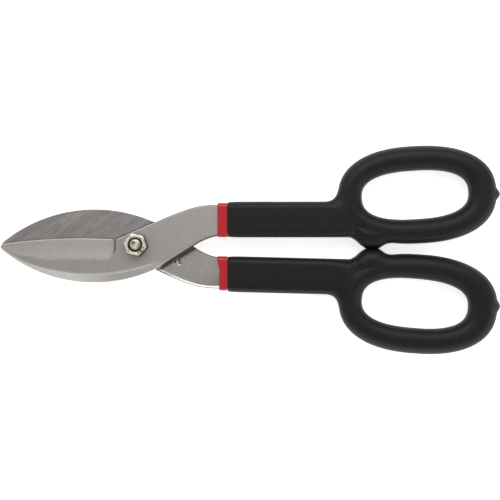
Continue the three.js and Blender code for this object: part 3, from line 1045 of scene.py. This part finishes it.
def add_nut():
    """The nut: from its foot up the flats, over the top and down the threaded bore."""
    base, top = NUT[0][2], NUT[1][2]
    crown = 0.97 * NUT_FLATS  # radius of the flat ring on top
    angle = around(240)
    sharpest = NUT_FLATS / math.cos(SIXTH / 2) - 0.3
    wall = smooth_min(nut_wall(angle), sharpest, 0.35)
    lean = math.tan(NUT_CHAMFER)
    rim = [crown + (wall - crown) * share for share in np.linspace(0.0, 1.0, 7)]
    side_wall = wall + 0.04
    low_edge, high_edge = base + (wall - crown) * lean, top - (wall - crown) * lean
    columns = [(r, base + (r - crown) * lean, 0.0) for r in rim]
    # painted shade on the side walls
    columns += [(side_wall, low_edge + 0.2, 0.62), (side_wall, high_edge - 0.45, 0.72),
                (side_wall, high_edge - 0.15, 0.4)]
    columns += [(r, top - (r - crown) * lean, 0.0) for r in rim[::-1]]
    columns += [(r, top, 0.0) for r in np.linspace(0.985 * crown, NUT_MOUTH_RADIUS, 8)]
    # painted shade down the mouth of the bore and the thread
    columns += [(4.6, top - 0.08, 0.6), (4.3, top - 0.35, 1.0), (3.98, top - 0.68, 1.0)]
    for z in np.linspace(top - 0.8, base + 0.7, 56):
        root = BOLT_THREAD_RADIUS + 0.12
        columns.append((root - THREAD_DEPTH * thread(z, angle), z, 1.0))
    # faint painted shade round the foot of the bore
    columns.append((4.3, base, 0.2))
    radius, height, shades = profile_grids(columns, angle)
    x, y = radius * np.cos(angle), radius * np.sin(angle)
    flecks = 0.0
    for centre_x, centre_y, size in NUT_FLECKS:
        away = (x - centre_x) ** 2 + (y - centre_y) ** 2
        flecks = flecks + 1.1 * np.exp(-away / size ** 2)
    on_top = height > top - 1.0
    shades = np.maximum(shades, np.minimum(flecks, 1.0) * on_top)
    return turned("hex_nut", radius, height, PLATED, shades)


def add_bolt():
    """The bolt: from the middle of its head, round it and up the thread to the rounded end."""
    head_radius = (BOLT[1][0] - BOLT[0][0]) / 2
    end = BOLT[1][2]
    angle = around(144)
    corner = np.radians(np.linspace(-90, 0, 6))
    columns = [(0.02, 0.35, 0.0), (0.9, 0.25, 0.0), (1.5, 0.05, 0.0), (1.9, 0.0, 0.0),
               (4.0, 0.0, 0.0), (head_radius - 0.9, 0.0, 0.0)]
    columns += [(head_radius - HEAD_EDGE + HEAD_EDGE * math.cos(a),
                 HEAD_EDGE + HEAD_EDGE * math.sin(a), 0.0) for a in corner]
    # painted shade, faint, where the shank leaves the head
    columns += [(head_radius, HEAD_HEIGHT - 0.2, 0.0), (head_radius - 0.2, HEAD_HEIGHT, 0.0),
                (4.3, HEAD_HEIGHT, 0.2), (BOLT_SHANK_RADIUS, HEAD_HEIGHT + 0.3, 0.2),
                (BOLT_SHANK_RADIUS, THREAD_START_Z - 0.2, 0.2)]
    thread_end, chamfer_start = end - 1.0, end - 2.1
    # painted shade along the thread, less where it runs out
    for z in np.linspace(THREAD_START_Z, thread_end, 44):
        run_out = float(smoothstep(z, chamfer_start, thread_end))
        cut = THREAD_DEPTH * thread(z, angle) * (1.0 - run_out)
        shrink = 0.45 * run_out
        columns.append((BOLT_THREAD_RADIUS - cut - shrink, z, 0.75 - shrink))
    # painted shade round the rim of the rounded end
    for share in (1.0, 0.97, 0.9, 0.8, 0.66, 0.5, 0.35, 0.2, 0.1, 0.005):
        rim_shade = 0.6 * float(smoothstep(share, 0.6, 1.0))
        columns.append((BOLT_END_RADIUS * share, end - 0.6 * share ** 2.4, rim_shade))
    radius, height, shades = profile_grids(columns, angle)
    x, y = radius * np.cos(angle), radius * np.sin(angle)
    on_end = height > end - 0.65
    # a painted dark spot on the upper left of the end
    end_shade_spot = np.exp(-((x + 1.2) ** 2 + (y - 1.1) ** 2) / 2.0)
    stain = 0.5 * smoothstep(x - 0.3 * y, 1.0, 2.2)
    shades = np.maximum(shades, (0.8 * end_shade_spot + stain) * on_end)
    height = height - 0.22 * np.exp(-((x + 0.4) ** 2 + (y - 0.4) ** 2) / 2.4) * on_end
    return turned("bolt_and_head", radius, height, PLATED, shades)


# ---- assembly -----------------------------------------------------------------------------------

def keep(piece, node, body):
    """Puts a finished piece on its body, in place of the CAD node it stands for."""
    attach(piece, body)
    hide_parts(node)


for side_name, lever in SIDES.items():
    keep(add_forging(side_name), f"{side_name}_blade", lever["body"])
    keep(add_collar(side_name), f"{side_name}_collar", lever["body"])
    keep(add_grip(side_name), f"{side_name}_grip", lever["body"])
keep(add_nut(), "pivot_nut", "rear_lever")
keep(add_bolt(), "pivot_bolt", "rear_lever")


# ---- floor, light and camera --------------------------------------------------------------------

LIGHT_TARGET = np.array([0.07, 0.0, 0.01])
SOFTBOXES = {
    "near_box": {"at": (0.10, -1.15, 0.30), "size": (1.8, 0.22), "power": 4.0},
    "far_box": {"at": (0.10, 0.52, 0.62), "size": (1.0, 0.42), "power": 3.6},
    "left_box": {"at": (-1.2, 0.2, 0.7), "size": (1.2, 0.6), "power": 2.0},
    "right_box": {"at": (1.25, -0.45, 0.55), "size": (1.0, 0.4), "power": 3.5},
}
WORLD_STRENGTH = 0.47
VIEW_CENTRE = (0.0694, -0.00325)
VIEW_WIDTH = 0.307  # width of the view at the shear plane
CAMERA_DISTANCE = 0.65
FLOOR_REACH = 6.0
FLOOR_GLOW = 0.70  # keeps the floor white round the shadows


def add_floor():
    """A plain pale floor under the tool, with a glow that keeps it white."""
    n = Nodes("floor")
    tone = n.span(n.noise(3.0, 2.0), 0.3, 0.7)
    colour = n.mix(tone, (0.90, 0.90, 0.90), (0.93, 0.93, 0.93))
    rough = n.span(n.noise(6.0, 2.0), 0.3, 0.7, 0.85, 0.95)
    material = n.finish(colour, rough, n.bump(n.noise(400.0), 0.02, 0.0001),
                        Specular_IOR_Level=0.1, Emission_Color=(1.0, 1.0, 1.0, 1.0),
                        Emission_Strength=FLOOR_GLOW)
    r = FLOOR_REACH
    corners = [(-r, -r, 0), (r, -r, 0), (r, r, 0), (-r, r, 0)]
    add_mesh("floor", corners, [(0, 1, 2, 3)], material)


def add_softbox(name, at, size, power):
    """A rectangular area light aimed at the snips."""
    light = bpy.data.lights.new(name, "AREA")
    light.shape = "RECTANGLE"
    light.size, light.size_y = size
    light.energy = power
    lamp = bpy.data.objects.new(name, light)
    lamp.location = at
    aim = LIGHT_TARGET - np.array(at)
    tip = math.atan2(math.hypot(aim[0], aim[1]), -aim[2])
    lamp.rotation_euler = (tip, 0.0, math.atan2(aim[1], aim[0]) - math.pi / 2)
    bpy.context.scene.collection.objects.link(lamp)


def add_world():
    """Even white light from all round."""
    world = bpy.data.worlds.new("studio")
    world.use_nodes = True
    background = world.node_tree.nodes["Background"]
    background.inputs["Color"].default_value = (1.0, 1.0, 1.0, 1.0)
    background.inputs["Strength"].default_value = WORLD_STRENGTH
    bpy.context.scene.world = world


def add_camera():
    """A camera looking straight down, its frame as wide as VIEW_WIDTH at the blades."""
    camera = bpy.data.cameras.new("camera")
    camera.sensor_width = 36.0
    camera.lens = camera.sensor_width * CAMERA_DISTANCE / VIEW_WIDTH
    eye = bpy.data.objects.new("camera", camera)
    eye.location = (*VIEW_CENTRE, SHEAR_Z * MM + CAMERA_DISTANCE)
    bpy.context.scene.collection.objects.link(eye)
    bpy.context.scene.camera = eye


add_floor()
for box_name, box in SOFTBOXES.items():
    add_softbox(box_name, **box)
add_world()
add_camera()
bpy.context.scene.view_settings.view_transform = "Standard"
